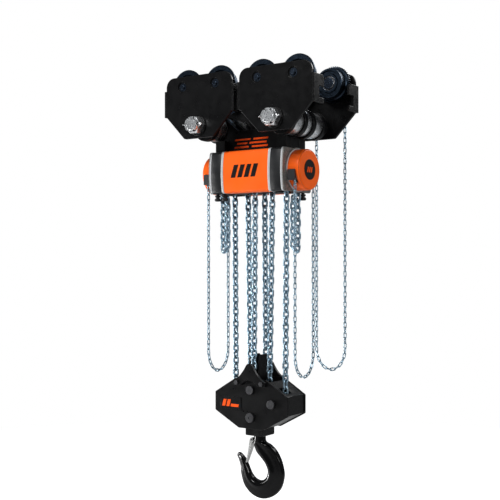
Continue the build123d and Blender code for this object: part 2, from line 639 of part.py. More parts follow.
with BuildPart() as layshaft:
    with BuildSketch(body_plane(-LIFT_GEAR_OUT).offset(1.5)):
        with Locations((0, GEAR_DISTANCE)):
            Polygon(*gear_outline(SMALL_TEETH, GEAR_MODULE), align=None, rotation=degrees(lay_small_turn))
    extrude(amount=LIFT_GEAR_OUT - LAY_GEAR_OUT - 1.5)
    with BuildSketch(body_plane(-LAY_GEAR_OUT)):
        with Locations((0, GEAR_DISTANCE)):
            Polygon(*gear_outline(LARGE_TEETH, GEAR_MODULE), align=None, rotation=degrees(large_turn))
    extrude(amount=LAY_GEAR_OUT - LAY_GEAR_IN)
    with BuildSketch(body_plane(-LAY_GEAR_OUT)):
        with Locations((0, GEAR_DISTANCE)):
            Circle(6)
    extrude(amount=LAY_GEAR_OUT - 116)
layshaft.part.label = "left_layshaft"
export_step(layshaft.part, "parts/left_layshaft.step")

with BuildPart() as hand_wheel:
    with BuildSketch(along_x(-HAND_X, 0, BODY_Z)):
        Polygon(*chain_wheel_profile(HAND_R, *HAND_CHAIN, 9.5, 3, DRIVE_SHAFT_R, 22, 14, 4),
                align=None)
    revolve(axis=Axis((0, 0, BODY_Z), (1, 0, 0)))
with BuildPart() as drive_shaft:
    with BuildSketch(body_plane(-272)):
        Circle(DRIVE_SHAFT_R)
    extrude(amount=272 - 116)
    with BuildSketch(body_plane(-LAY_GEAR_OUT)):
        Polygon(*gear_outline(SMALL_TEETH, GEAR_MODULE), align=None, rotation=degrees(small_turn))
    extrude(amount=LAY_GEAR_OUT - LAY_GEAR_IN)
with BuildPart() as brake_ratchet:
    with BuildSketch(body_plane(-231)):
        Circle(58)
        with PolarLocations(58, 16):
            Triangle(a=14, b=9, C=90, rotation=90)
        Circle(DRIVE_SHAFT_R, mode=Mode.SUBTRACT)
    extrude(amount=8)
left_hand_wheel = group([hand_wheel.part, drive_shaft.part, brake_ratchet.part], "left_hand_wheel")
export_step(left_hand_wheel, "parts/left_hand_wheel.step")

with BuildPart() as idler:
    with BuildSketch(along_y(-IDLER_X, IDLER_Y, BODY_Z)):
        Polygon(*chain_wheel_profile(IDLER_R, *LOAD_CHAIN, 19.5, 4, 12 + RUN_GAP, 18, 23, 14),
                align=None)
    revolve(axis=Axis((-IDLER_X, 0, BODY_Z), (0, 1, 0)))
idler.part.label = "left_upper_idler"
export_step(idler.part, "parts/left_upper_idler.step")

# The right hoist unit is the left one turned half a turn about the vertical axis.
for left_piece, name in (
    (lift_wheel.part, "right_lift_wheel"), (layshaft.part, "right_layshaft"),
    (left_hand_wheel, "right_hand_wheel"), (idler.part, "right_upper_idler"),
):
    turned = group([half_turn(left_piece)], name)
    export_step(turned, f"parts/{name}.step")

PLATE_LOW, PLATE_HIGH = BODY_BOTTOM + 8, BODY_TOP - 10
idler_holes = [(-IDLER_X, BODY_Z), (IDLER_X, BODY_Z)]
inner = []
for high_y in (SEAM_Y, -SEAM_Y + 8):
    with BuildPart() as idler_frame:
        with BuildSketch(across(high_y)):
            with Locations((0, (PLATE_LOW + PLATE_HIGH) / 2)):
                Rectangle(2 * GEAR_PLATE_IN, PLATE_HIGH - PLATE_LOW)
            with Locations(*idler_holes):
                Circle(12, mode=Mode.SUBTRACT)
        extrude(amount=8)
    inner.append(idler_frame.part)
for side in (-1, 1):
    with BuildPart() as gear_plate:
        with BuildSketch(body_plane(GEAR_PLATE_IN if side > 0 else -GEAR_PLATE_OUT)):
            with Locations((0, (PLATE_LOW + PLATE_HIGH) / 2 - BODY_Z)):
                Rectangle(2 * SEAM_Y, PLATE_HIGH - PLATE_LOW)
            Circle(DRIVE_SHAFT_R + RUN_GAP, mode=Mode.SUBTRACT)
            with Locations((0, GEAR_DISTANCE)):
                Circle(6 + RUN_GAP, mode=Mode.SUBTRACT)
        extrude(amount=GEAR_PLATE_OUT - GEAR_PLATE_IN)
    inner.append(gear_plate.part)
inner_plates = group(inner, "inner_plates")
export_step(inner_plates, "parts/inner_plates.step")

with BuildPart() as idler_axles:
    with BuildSketch(across(SEAM_Y + 4)):
        with Locations(*idler_holes):
            Circle(12)
    extrude(amount=2 * SEAM_Y + 8)
idler_axles.part.label = "idler_axles"
export_step(idler_axles.part, "parts/idler_axles.step")

# ---------------------------------------------------------------- hook block

block_half, block_side_top, block_side_low = 210.0, -1404.0, -1493.0
block_top_half, block_top, block_foot_half, block_foot = 88.0, -1330.0, 71.0, -1568.0
plates = []
for high_y in (BLOCK_OUT, -BLOCK_IN):
    with BuildPart() as block_plate:
        with BuildSketch(across(high_y)) as outline:
            Polygon(
                (-block_half, block_side_low), (-block_foot_half, block_foot), (block_foot_half, block_foot),
                (block_half, block_side_low), (block_half, block_side_top), (block_top_half, block_top),
                (-block_top_half, block_top), (-block_half, block_side_top), align=None,
            )
            fillet(outline.vertices(), radius=9)
            with Locations((-SHEAVE_X, SHEAVE_Z), (SHEAVE_X, SHEAVE_Z)):
                Circle(16, mode=Mode.SUBTRACT)
            with Locations((0, TOP_PIN_Z)):
                Circle(16, mode=Mode.SUBTRACT)
            with Locations((0, CROSSHEAD_Z)):
                Circle(22, mode=Mode.SUBTRACT)
        extrude(amount=BLOCK_T)
        outside = block_plate.faces().filter_by(Axis.Y).sort_by(Axis.Y)[-1 if high_y > 0 else 0]
        chamfer(outside.outer_wire().edges(), length=1.2)
    plates.append(block_plate.part)
block_side_plates = group(plates, "block_side_plates")
export_step(block_side_plates, "parts/block_side_plates.step")

# Bent covers close the two ends of the block between its side plates.
cover_pieces = []
for side in (-1, 1):
    with BuildPart() as block_cover:
        with BuildSketch(across(BLOCK_IN)):
            Polygon(
                (side * 150, -1370), (side * 205, -1403), (side * 205, -1491), (side * 72, -1563),
                (side * 72, -1556), (side * 199, -1487), (side * 199, -1407), (side * 150, -1377), align=None,
            )
        extrude(amount=2 * BLOCK_IN)
        # the chain falls pass the sloping top through a notch
        fall_y = -side * SHEAVE_Y
        with BuildSketch(Plane.XY.offset(-1410)):
            with Locations((side * 160, fall_y)):
                Rectangle(50, 50)
        extrude(amount=80, mode=Mode.SUBTRACT)
    cover_pieces.append(block_cover.part)
block_covers = group(cover_pieces, "block_covers")
export_step(block_covers, "parts/block_covers.step")

# Ear brackets outside the plates, and the centre guides between the falls.
ears = []
for side_y in (-1, 1):
    with BuildPart() as ear:
        with BuildSketch(across(95 if side_y > 0 else -BLOCK_OUT)) as outline:
            with BuildLine():
                Polyline((-16, -1257), (16, -1257))
                ThreePointArc((16, -1257), (36, -1300), (92, -1342))
                Polyline((92, -1342), (92, -1362), (46, -1362))
                ThreePointArc((46, -1362), (0, -1337), (-46, -1362))
                Polyline((-46, -1362), (-92, -1362), (-92, -1342))
                ThreePointArc((-92, -1342), (-36, -1300), (-16, -1257))
            make_face()
            with Locations((-71, -1349), (71, -1349)):
                Circle(8, mode=Mode.SUBTRACT)
        extrude(amount=95 - BLOCK_OUT)
        chamfer(ear.faces().sort_by(Axis.Y)[-1 if side_y > 0 else 0].outer_wire().edges(), length=2)
    ears.append(ear.part)
for side_x in (-1, 1):
    with BuildPart() as fin:
        with BuildSketch(Plane.YZ.offset(side_x * 24 - 4)):
            Polygon(
                (-34, -1217), (34, -1217), (46, -1262), (46, -1352), (-46, -1352), (-46, -1262), align=None
            )
        extrude(amount=8)
        chamfer(fin.edges().filter_by(Axis.X).group_by(Axis.Z)[-1], length=6)
    ears.append(fin.part)
ear_brackets = group(ears, "ear_brackets")
export_step(ear_brackets, "parts/ear_brackets.step")

pin_pieces = []
PIN_R, PIN_HEAD_R = 16.0, 21.0
for x, z in ((-SHEAVE_X, SHEAVE_Z), (SHEAVE_X, SHEAVE_Z), (0, TOP_PIN_Z)):
    with BuildPart() as pin:
        with BuildSketch(across(BLOCK_OUT + 2)):
            with Locations((x, z)):
                Circle(PIN_R)
        extrude(amount=2 * BLOCK_OUT + 4)
        front = x >= 0
        with BuildSketch(across(-BLOCK_OUT if front else BLOCK_OUT + 13)):
            with Locations((x, z)):
                Circle(PIN_HEAD_R)
        extrude(amount=13)
        face = pin.faces().sort_by(Axis.Y)[0 if front else -1]
        chamfer(face.edges(), length=2)
    pin_pieces.append(pin.part)
for x in (-71, 71):
    for side_y in (-1, 1):
        with BuildPart() as ear_bolt:
            with BuildSketch(across(95 if side_y > 0 else -BLOCK_OUT)):
                with Locations((x, -1349)):
                    Circle(8)
            extrude(amount=95 - BLOCK_OUT)
            with BuildSketch(across(102 if side_y > 0 else -95)):
                with Locations((x, -1349)):
                    RegularPolygon(radius=12, side_count=6)
            extrude(amount=7)
        pin_pieces.append(ear_bolt.part)
block_pins = group(pin_pieces, "block_pins")
export_step(block_pins, "parts/block_pins.step")

with BuildPart() as sheave:
    with BuildSketch(along_y(-SHEAVE_X, SHEAVE_Y, SHEAVE_Z)):
        Polygon(*chain_wheel_profile(SHEAVE_R, *LOAD_CHAIN, 19.5, 4, 16 + RUN_GAP, 22, 23.5, 16),
                align=None)
    revolve(axis=Axis((-SHEAVE_X, 0, SHEAVE_Z), (0, 1, 0)))
sheave.part.label = "left_block_sheave"
export_step(sheave.part, "parts/left_block_sheave.step")
right_block_sheave = group([half_turn(sheave.part)], "right_block_sheave")
export_step(right_block_sheave, "parts/right_block_sheave.step")

# Forked anchors on the top pin hold the standing end of each chain.
anchor_pieces = []
for side_y in (-1, 1):
    with BuildPart() as anchor:
        with BuildSketch(across(side_y * ANCHOR_Y + 14)):
            with Locations((0, TOP_PIN_Z)):
                Circle(24)
            with Locations((0, (TOP_PIN_Z + ANCHOR_PIN_Z) / 2 + 6)):
                Rectangle(30, ANCHOR_PIN_Z - TOP_PIN_Z + 12)
            with Locations((0, TOP_PIN_Z)):
                Circle(16, mode=Mode.SUBTRACT)
        extrude(amount=28)
        with BuildSketch(Plane.YZ.offset(-20)):
            with Locations((side_y * ANCHOR_Y, ANCHOR_PIN_Z + 3)):
                Rectangle(12.5, 46)
        extrude(amount=40, mode=Mode.SUBTRACT)
        with BuildSketch(across(side_y * ANCHOR_Y + 14)):
            with Locations((0, ANCHOR_PIN_Z)):
                Circle(6)
        extrude(amount=28, mode=Mode.SUBTRACT)
    with BuildPart() as anchor_pin:
        with BuildSketch(across(side_y * ANCHOR_Y + 14)):
            with Locations((0, ANCHOR_PIN_Z)):
                Circle(6)
        extrude(amount=28)
    anchor_pieces += [anchor.part, anchor_pin.part]
chain_anchors = group(anchor_pieces, "chain_anchors")
export_step(chain_anchors, "parts/chain_anchors.step")

CROSSHEAD_TOP, SEAT_H, NUT_H = -1490.0, 14.0, 38.0
with BuildPart() as crosshead:
    with BuildSketch(Plane.XY.offset(-1568)):
        Rectangle(96, 2 * BLOCK_IN)
    extrude(amount=CROSSHEAD_TOP + 1568)
    with BuildSketch(Plane.XY.offset(CROSSHEAD_FOOT)):
        Rectangle(100, 100)
    extrude(amount=-1568 - CROSSHEAD_FOOT)
    with BuildSketch(across(88)):
        with Locations((0, CROSSHEAD_Z)):
            Circle(22)
    extrude(amount=176)
    with BuildSketch(Plane.XY.offset(CROSSHEAD_FOOT)):
        Circle(SHANK_R + RUN_GAP)
    extrude(amount=CROSSHEAD_TOP - CROSSHEAD_FOOT, mode=Mode.SUBTRACT)
    chamfer(crosshead.faces().sort_by(Axis.Z)[0].outer_wire().edges(), length=3)
with BuildPart() as thrust_bearing:
    with BuildSketch(Plane.XY.offset(CROSSHEAD_TOP)):
        Circle(44)
        Circle(SHANK_R + RUN_GAP, mode=Mode.SUBTRACT)
    extrude(amount=SEAT_H - 0.3)
crosshead_set = group([crosshead.part, thrust_bearing.part], "crosshead")
export_step(crosshead_set, "parts/crosshead.step")

with BuildPart() as hook_nut:
    with BuildSketch(Plane.XY.offset(CROSSHEAD_TOP + SEAT_H)):
        RegularPolygon(radius=46, side_count=6)
        Circle(SHANK_R, mode=Mode.SUBTRACT)
    extrude(amount=NUT_H)
    chamfer(hook_nut.faces().sort_by(Axis.Z)[-1].outer_wire().edges(), length=2)
hook_nut.part.label = "hook_nut"
export_step(hook_nut.part, "parts/hook_nut.step")

with BuildPart() as hook:
    with BuildSketch(across(HOOK_HALF_Y - 10)) as outline:
        with BuildLine():
            Line((SHANK_R, -1624), (-SHANK_R, -1624))
            Line((-SHANK_R, -1624), (-SHANK_R, -1652))
            ThreePointArc((-SHANK_R, -1652), (-2, -1700), (44, -1735))
            ThreePointArc((44, -1735), (0, BOWL_Z - BOWL_R), (-54, -1785))
            ThreePointArc((-54, -1785), (-78, -1752), (-104, -1714))
            ThreePointArc((-104, -1714), (-121, -1704), (-133, -1716))
            ThreePointArc((-133, -1716), (-116, -1745), (-106, -1785))
            ThreePointArc((-106, -1785), (16, -1911), (138, -1788))
            ThreePointArc((138, -1788), (106, -1700), (SHANK_R, -1652))
            Line((SHANK_R, -1652), (SHANK_R, -1624))
        make_face()
    extrude(amount=2 * (HOOK_HALF_Y - 10))
    with BuildSketch(across(HOOK_HALF_Y)):
        add(offset(outline.sketch_local, amount=-9, mode=Mode.PRIVATE))
    extrude(amount=2 * HOOK_HALF_Y)
    with BuildSketch(across(HOOK_HALF_Y - 3)):
        with Locations((0, -1638)):
            Rectangle(2 * SHANK_R, 28)
    extrude(amount=2 * HOOK_HALF_Y - 6)
    with BuildSketch(Plane.XY.offset(-1650)):
        Circle(SHANK_R)
    extrude(amount=CROSSHEAD_TOP + SEAT_H + NUT_H + 4 + 1650)
    with BuildSketch(across(9)):
        with Locations((LATCH_X, LATCH_Z)):
            Circle(9)
        with Locations((LATCH_X / 2 - 10, LATCH_Z)):
            Rectangle(20, 18)
    extrude(amount=18)
    with BuildSketch(across(20)):
        with Locations((LATCH_X, LATCH_Z)):
            Circle(4)
    extrude(amount=40, mode=Mode.SUBTRACT)
hook.part.label = "hook"
export_step(hook.part, "parts/hook.step")

with BuildPart() as latch_pin:
    with BuildSketch(across(17)):
        with Locations((LATCH_X, LATCH_Z)):
            Circle(4)
    extrude(amount=34)
latch_pin.part.label = "latch_pin"
export_step(latch_pin.part, "parts/latch_pin.step")

LATCH_LENGTH, LATCH_LEAN = 121.0, 15.5
latch_run = (-sin(radians(LATCH_LEAN)), 0, -cos(radians(LATCH_LEAN)))
latch_plane = Plane(origin=(LATCH_X, 0, LATCH_Z), x_dir=latch_run,
                    z_dir=(0, -1, 0))
with BuildPart() as hook_latch:
    # local x runs down the latch and local y towards the hook's point
    with BuildSketch(latch_plane.offset(-14)):
        Polygon((-9, -9), (-9, 6), (18, 7), (LATCH_LENGTH, -2), (LATCH_LENGTH, -6.5), (18, -9), align=None)
        Circle(4 + RUN_GAP, mode=Mode.SUBTRACT)
    extrude(amount=28)
    with BuildSketch(latch_plane.offset(-11)):
        Polygon((-20, -20), (-20, 20), (14, 20), (14, 2.5), (LATCH_LENGTH + 4, -6.5), (LATCH_LENGTH + 4, -20),
                align=None)
    extrude(amount=22, mode=Mode.SUBTRACT)
hook_latch.part.label = "hook_latch"
export_step(hook_latch.part, "parts/hook_latch.step")

# ---------------------------------------------------------------- chains

load_link = chain_link(LOAD_WIRE, LOAD_PITCH, LOAD_WIDTH)
hand_link = chain_link(HAND_WIRE, HAND_PITCH, HAND_WIDTH)


def under_arc(centre, radius, across_dir, depth, count=24):
    """Points round the lower half of an ellipse, from the side against across_dir to the side along it."""
    angles = [pi + pi * n / count for n in range(count + 1)]
    return [
        tuple(c + radius * cos(a) * d for c, d in zip(centre[:2], across_dir)) + (centre[2] + depth * sin(a),)
        for a in angles
    ]


sheave_centre = (-SHEAVE_X, SHEAVE_Y, SHEAVE_Z)
two_falls = [(-LIFT_X, LIFT_R, FALL_TOP)] + under_arc(sheave_centre, SHEAVE_R, (1, 0), SHEAVE_R)
two_falls.append((-IDLER_X - IDLER_R, IDLER_Y, FALL_TOP))
standing_top = Vector(-IDLER_X + IDLER_R, IDLER_Y, FALL_TOP)
standing_foot = Vector(0, ANCHOR_Y, ANCHOR_PIN_Z - LOAD_WIRE / 2 - 1)
standing_fall = [tuple(standing_foot), tuple(standing_top)]
left_falls = chain(load_link, pins_along(two_falls, LOAD_PITCH), (0, 1, 0))
left_falls += chain(load_link, pins_along(standing_fall, LOAD_PITCH), (1, 0, 0))
lifting_chain = group(left_falls + [half_turn(link) for link in left_falls], "lifting_chain")
export_step(lifting_chain, "parts/lifting_chain.step")

tail_x, tail_y = -157.0, -50.0
tail_half = (LIFT_X + tail_x) / 2
tail_mid = (-LIFT_X - tail_x) / 2 + tail_x
tail_depth = 22.0
tail_loop = [(-LIFT_X, -LIFT_R, BODY_Z - 20)]
tail_centre = (tail_x - tail_half, (tail_y - LIFT_R) / 2, TAIL_FOOT + tail_depth)
tail_loop += under_arc(tail_centre, tail_half, (1, 0), tail_depth)
tail_loop.append((tail_x, tail_y, BODY_BOTTOM + 12))
left_tail = chain(load_link, pins_along(tail_loop, LOAD_PITCH), (0, 1, 0))
tail_chains = group(left_tail + [half_turn(link) for link in left_tail], "tail_chains")
export_step(tail_chains, "parts/tail_chains.step")


def hand_loop(centre, across_dir, foot):
    """Endless hand chain: over the top of its wheel, down both sides, and round a hanging bottom."""
    depth = 105.0
    over = [
        (centre[0] + HAND_R * cos(a) * across_dir[0], centre[1] + HAND_R * cos(a) * across_dir[1],
         centre[2] + HAND_R * sin(a))
        for a in [pi * n / 48 for n in range(49)]
    ]
    under = under_arc((centre[0], centre[1], foot + depth), HAND_R, across_dir, depth, 48)
    points = over + under + over[:1]
    length = sum((Vector(*b) - Vector(*a)).length for a, b in zip(points, points[1:]))
    count = 2 * round(length / HAND_PITCH / 2)
    pitch = length / count
    pins = pins_along(points, pitch)
    while len(pins) > count:
        pitch *= 1.00005
        pins = pins_along(points, pitch)
    while len(pins) < count:
        pitch *= 0.99995
        pins = pins_along(points, pitch)
    return chain(hand_link, pins, (across_dir[1], across_dir[0], 0), closed=True)


left_hand_loop = hand_loop((-HAND_X, 0, BODY_Z), (0, 1), HAND_FOOT)
drive_loop = hand_loop((TROLLEY_X, DRIVE_WHEEL_Y, DRIVE_Z), (1, 0), DRIVE_FOOT)
hand_chains = group(left_hand_loop + [half_turn(link) for link in left_hand_loop] + drive_loop, "hand_chains")
export_step(hand_chains, "parts/hand_chains.step")
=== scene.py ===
import json
import math

import bmesh
import bpy
from mathutils import Matrix, Vector


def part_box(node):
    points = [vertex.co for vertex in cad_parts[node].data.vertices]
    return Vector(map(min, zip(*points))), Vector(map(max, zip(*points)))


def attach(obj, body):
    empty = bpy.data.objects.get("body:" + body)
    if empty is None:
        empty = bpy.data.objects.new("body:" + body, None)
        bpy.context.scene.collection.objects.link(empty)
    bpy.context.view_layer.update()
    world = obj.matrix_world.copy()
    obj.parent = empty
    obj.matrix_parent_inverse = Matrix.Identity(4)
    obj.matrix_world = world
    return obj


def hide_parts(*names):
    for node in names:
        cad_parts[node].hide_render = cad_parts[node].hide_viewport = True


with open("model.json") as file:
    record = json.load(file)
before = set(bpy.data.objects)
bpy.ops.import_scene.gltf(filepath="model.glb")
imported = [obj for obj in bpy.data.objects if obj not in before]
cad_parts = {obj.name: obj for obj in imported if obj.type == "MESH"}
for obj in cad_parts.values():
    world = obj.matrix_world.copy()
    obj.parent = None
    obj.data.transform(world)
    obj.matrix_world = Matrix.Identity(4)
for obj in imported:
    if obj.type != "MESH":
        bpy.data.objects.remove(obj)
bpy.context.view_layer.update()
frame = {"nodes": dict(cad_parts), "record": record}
nodes = frame["nodes"]
MM = 0.001

# Outlines and points of pieces are laid out in mm: -Y is the front and Z is up.
# Places, bar radii, modifiers, looks and lights are in metres.

# ---------------------------------------------------------------- materials


# Sockets of a Mix node that mixes colours: their names repeat, so they go by number
MIX_FACTOR, MIX_A, MIX_B, MIX_RESULT = 0, 6, 7, 2


class Shader:
    """A node material that is built step by step: colour, roughness and bump from noise."""

    def __init__(self, name, colour, rough, metallic=0.0, coat=0.0):
        self.material = bpy.data.materials.new(name)
        self.material.use_nodes = True
        self.tree = self.material.node_tree
        self.surface = self.tree.nodes["Principled BSDF"]
        self.surface.inputs["Metallic"].default_value = metallic
        self.surface.inputs["Coat Weight"].default_value = coat
        self.surface.inputs["Coat Roughness"].default_value = 0.12
        self.coords = self.tree.nodes.new("ShaderNodeTexCoord").outputs["Object"]
        self.colour = self.rgb(colour)
        self.rough = self.number(rough)
        self.height = None

    def node(self, kind, **inputs):
        made = self.tree.nodes.new(kind)
        for key, value in inputs.items():
            self.put(made.inputs[key], value)
        return made

    def put(self, socket, value):
        if isinstance(value, bpy.types.NodeSocket):
            self.tree.links.new(value, socket)
        else:
            socket.default_value = value

    def rgb(self, colour):
        made = self.tree.nodes.new("ShaderNodeRGB")
        made.outputs[0].default_value = (*colour, 1)
        return made.outputs[0]

    def number(self, value):
        made = self.tree.nodes.new("ShaderNodeValue")
        made.outputs[0].default_value = value
        return made.outputs[0]

    def noise(self, size, detail=3.0, stretch=(1, 1, 1)):
        """Noise from 0 to 1 whose features are about size metres across."""
        mapping = self.node("ShaderNodeMapping", Vector=self.coords, Scale=[s / size for s in stretch])
        made = self.node("ShaderNodeTexNoise", Vector=mapping.outputs[0], Scale=1.0, Detail=detail)
        return made.outputs["Fac"]

    def ramp(self, value, low, high, to_low=0.0, to_high=1.0):
        """Takes low to to_low and high to to_high, smoothly between and flat beyond."""
        made = self.tree.nodes.new("ShaderNodeMapRange")
        made.interpolation_type = "SMOOTHSTEP"
        limits = {"Value": value, "From Min": low, "From Max": high, "To Min": to_low, "To Max": to_high}
        for key, number in limits.items():
            self.put(made.inputs[key], number)
        return made.outputs[0]

    def math(self, operation, a, b):
        made = self.tree.nodes.new("ShaderNodeMath")
        made.operation = operation
        self.put(made.inputs[0], a)
        self.put(made.inputs[1], b)
        return made.outputs[0]

    def edges(self):
        """1 on convex edges, 0 on flats."""
        geometry = self.tree.nodes.new("ShaderNodeNewGeometry")
        return self.ramp(geometry.outputs["Pointiness"], 0.53, 0.6)

    def shaded_crevices(self, distance, low=0.35, high=0.95):
        """1 where shade falls, in corners and between touching pieces; 0 in the open."""
        made = self.node("ShaderNodeAmbientOcclusion", Distance=distance)
        made.samples = 6
        return self.ramp(made.outputs["AO"], low, high, 1.0, 0.0)

    def tint(self, mask, colour, amount):
        """Lays a colour over the one so far, where the mask is 1."""
        made = self.tree.nodes.new("ShaderNodeMix")
        made.data_type = "RGBA"
        self.put(made.inputs[MIX_FACTOR], self.math("MULTIPLY", mask, amount))
        self.put(made.inputs[MIX_A], self.colour)
        made.inputs[MIX_B].default_value = (*colour, 1)
        self.colour = made.outputs[MIX_RESULT]

    def roughen(self, mask, amount):
        self.rough = self.math("ADD", self.rough, self.math("MULTIPLY", mask, amount))

    def uneven(self, size, detail, amount):
        """Lets the roughness wander by amount, in patches about size metres across."""
        self.roughen(self.ramp(self.noise(size, detail), 0.3, 0.7, -0.5, 0.5), amount)

    def raise_by(self, value, amount):
        part = self.math("MULTIPLY", value, amount)
        self.height = part if self.height is None else self.math("ADD", self.height, part)

    def finish(self):
        self.tree.links.new(self.colour, self.surface.inputs["Base Color"])
        self.tree.links.new(self.rough, self.surface.inputs["Roughness"])
        if self.height is not None:
            bump = self.node("ShaderNodeBump", Height=self.height, Strength=1.0, Distance=1.0)
            self.tree.links.new(bump.outputs[0], self.surface.inputs["Normal"])
        return self.material


def shade(colour, factor):
    return [min(1.0, c * factor) for c in colour]


def enamel(name, colour, rough, peel, gloss=0.5, coat=0.0, dust_and_shade=(0.03, 0.03, 0.03), dust_and_shade_amount=0.1,
           worn=None):
    """Sprayed paint: orange peel, slow patches of gloss, rubbed edges, corners dusty and in painted shade."""
    look = Shader(name, colour, rough, coat=coat)
    look.surface.inputs["Specular IOR Level"].default_value = gloss
    look.tint(look.ramp(look.noise(0.11, 4), 0.35, 0.75), shade(colour, 0.82), 0.6)
    look.uneven(0.035, 5, 0.10)
    # Painted shade in corners of orange and grey paints; on black paints the lighter corners are dusty.
    look.tint(look.shaded_crevices(0.02), dust_and_shade, dust_and_shade_amount)
    if worn:
        chips = look.math("MULTIPLY", look.edges(), look.ramp(look.noise(0.006, 4), 0.48, 0.62))
        look.tint(chips, worn, 0.7)
    look.raise_by(look.noise(0.0016, 2), peel)
    look.raise_by(look.noise(0.012, 3), peel * 1.5)
    return look.finish()


def steel(name, colour, rough, grain=0.00002, crevice_shade=0.6, patch=0.35):
    """Bare or plated metal: cloudy plating, fine scratches and painted shade in the joints."""
    look = Shader(name, colour, rough, metallic=1.0)
    look.tint(look.ramp(look.noise(0.02, 5), 0.35, 0.7), shade(colour, 0.62), patch)
    # Painted shade: joints and corners darkened toward near black.
    look.tint(look.shaded_crevices(0.008), (0.03, 0.035, 0.04), crevice_shade)
    look.uneven(0.007, 5, 0.16)
    look.raise_by(look.noise(0.0009, 3, (1, 1, 5)), grain)
    return look.finish()


def cast(name, colour, metallic, mottle=0.75):
    """Sand-cast metal: a granular skin with a few pits, and painted shade in its corners."""
    grain = 0.00012
    look = Shader(name, colour, 0.5, metallic=metallic)
    look.tint(look.ramp(look.noise(0.03, 5), 0.3, 0.75), shade(colour, 0.7), 0.5)
    look.tint(look.ramp(look.noise(0.0045, 4), 0.46, 0.62), shade(colour, 0.42), mottle)
    look.tint(look.ramp(look.noise(0.006, 3, (1, 1, 1.6)), 0.58, 0.68), shade(colour, 1.6), mottle * 0.6)
    # Painted shade in corners and joints.
    look.tint(look.shaded_crevices(0.012), (0.05, 0.05, 0.05), 0.5)
    look.raise_by(look.noise(0.0022, 4), grain)
    look.raise_by(look.ramp(look.noise(0.0045, 2), 0.66, 0.74), -grain * 1.5)
    return look.finish()


def chain_steel(name):
    """Bluish zinc on welded links: cloudy from link to link, with painted shade where the links touch."""
    look = Shader(name, (0.42, 0.55, 0.64), 0.30, metallic=1.0)
    look.tint(look.ramp(look.noise(0.045, 2), 0.35, 0.65), (0.28, 0.40, 0.49), 0.8)
    look.tint(look.ramp(look.noise(0.004, 4), 0.52, 0.72), (0.74, 0.80, 0.84), 0.5)
    # Painted shade where the links touch and overlap.
    look.tint(look.shaded_crevices(0.006, 0.25, 0.85), (0.035, 0.05, 0.06), 0.85)
    look.uneven(0.003, 3, 0.2)
    look.raise_by(look.noise(0.0014, 3), 0.00003)
    return look.finish()


def forged(name):
    """Black lacquer over a forged surface: soft scale under a glossy coat."""
    look = Shader(name, (0.0015, 0.0015, 0.0018), 0.16)
    look.surface.inputs["Specular IOR Level"].default_value = 0.24
    look.tint(look.ramp(look.noise(0.05, 4), 0.4, 0.75), (0.004, 0.004, 0.0045), 0.7)
    look.uneven(0.02, 5, 0.10)
    look.raise_by(look.noise(0.012, 3), 0.00005)
    look.raise_by(look.ramp(look.noise(0.03, 2), 0.5, 0.8), -0.00008)
    return look.finish()


materials = {
    "black_paint": enamel("black_enamel", (0.005, 0.005, 0.0054), 0.32, 0.00002, 0.22,
                          worn=(0.05, 0.05, 0.05)),
    "wheel_steel": steel("wheel_steel", (0.03, 0.043, 0.062), 0.36, 0.00003),
    "zinc_steel": steel("bright_zinc", (0.80, 0.81, 0.82), 0.32, 0.000012, crevice_shade=0.8, patch=0.3),
    "dark_steel": steel("blackened_steel", (0.105, 0.105, 0.11), 0.42, 0.00003, patch=0.6),
    "machined_steel": steel("machined_steel", (0.5, 0.51, 0.53), 0.28),
    # A darker orange in its corners: painted shade.
    "orange_paint": enamel("orange_enamel", (1.0, 0.15, 0.008), 0.38, 0.000015, 0.3,
                           dust_and_shade=(0.35, 0.03, 0.004), dust_and_shade_amount=0.45),
    "band_black": enamel("band_black", (0.012, 0.0125, 0.014), 0.45, 0.00006, 0.35),
    "trim_grey": enamel("trim_grey", (0.50, 0.51, 0.52), 0.35, 0.00001, coat=0.1),
    "cast_grey": cast("cast_alloy", (0.30, 0.30, 0.285), 0.6),
    "guide_grey": enamel("guide_grey", (0.038, 0.038, 0.04), 0.42, 0.00004),
    "chain_steel": chain_steel("chain_zinc"),
    "forged_black": forged("forged_black"),
    "latch_steel": steel("latch_zinc", (0.55, 0.55, 0.54), 0.34, 0.00001, patch=0.2),
    "decal_orange": enamel("decal_orange", (0.95, 0.11, 0.006), 0.5, 0.00002, 0.15),
    "decal_black": enamel("decal_black", (0.006, 0.006, 0.0065), 0.45, 0.00001, 0.2),
}

# Nodes that look different from the rest of their slot
axle_finish = steel("axle_blue_black", (0.045, 0.06, 0.085), 0.33, patch=0.5)
special = {
    "axle_retainers": axle_finish,
    "wheel_axles": axle_finish,
    "chain_stops": materials["band_black"],
    "trolley_hand_wheel": cast("cast_hand_wheel", (0.20, 0.20, 0.195), 0.5, mottle=0.25),
}

node_slot = {part["node"]: part["material_slot"] for part in frame["record"]["subparts"]}
for name, node in nodes.items():
    node.data.materials.clear()
    node.data.materials.append(special.get(name, materials[node_slot[name]]))

# ---------------------------------------------------------------- mesh helpers


def mesh_piece(name, material, body, bm, smooth=True):
    """A new object from a bmesh, riding on a body."""
    bmesh.ops.recalc_face_normals(bm, faces=bm.faces)
    mesh = bpy.data.meshes.new(name)
    bm.to_mesh(mesh)
    bm.free()
    for polygon in mesh.polygons:
        polygon.use_smooth = smooth
    piece = bpy.data.objects.new(name, mesh)
    bpy.context.scene.collection.objects.link(piece)
    mesh.materials.append(materials[material])
    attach(piece, body)
    return piece


def bevel(piece, width, segments=3, angle=40):
    made = piece.modifiers.new("bevel", "BEVEL")
    made.width, made.segments = width, segments
    made.limit_method, made.angle_limit = "ANGLE", math.radians(angle)
    made.harden_normals = True


def split_edges(piece, angle):
    piece.modifiers.new("split", "EDGE_SPLIT").split_angle = math.radians(angle)


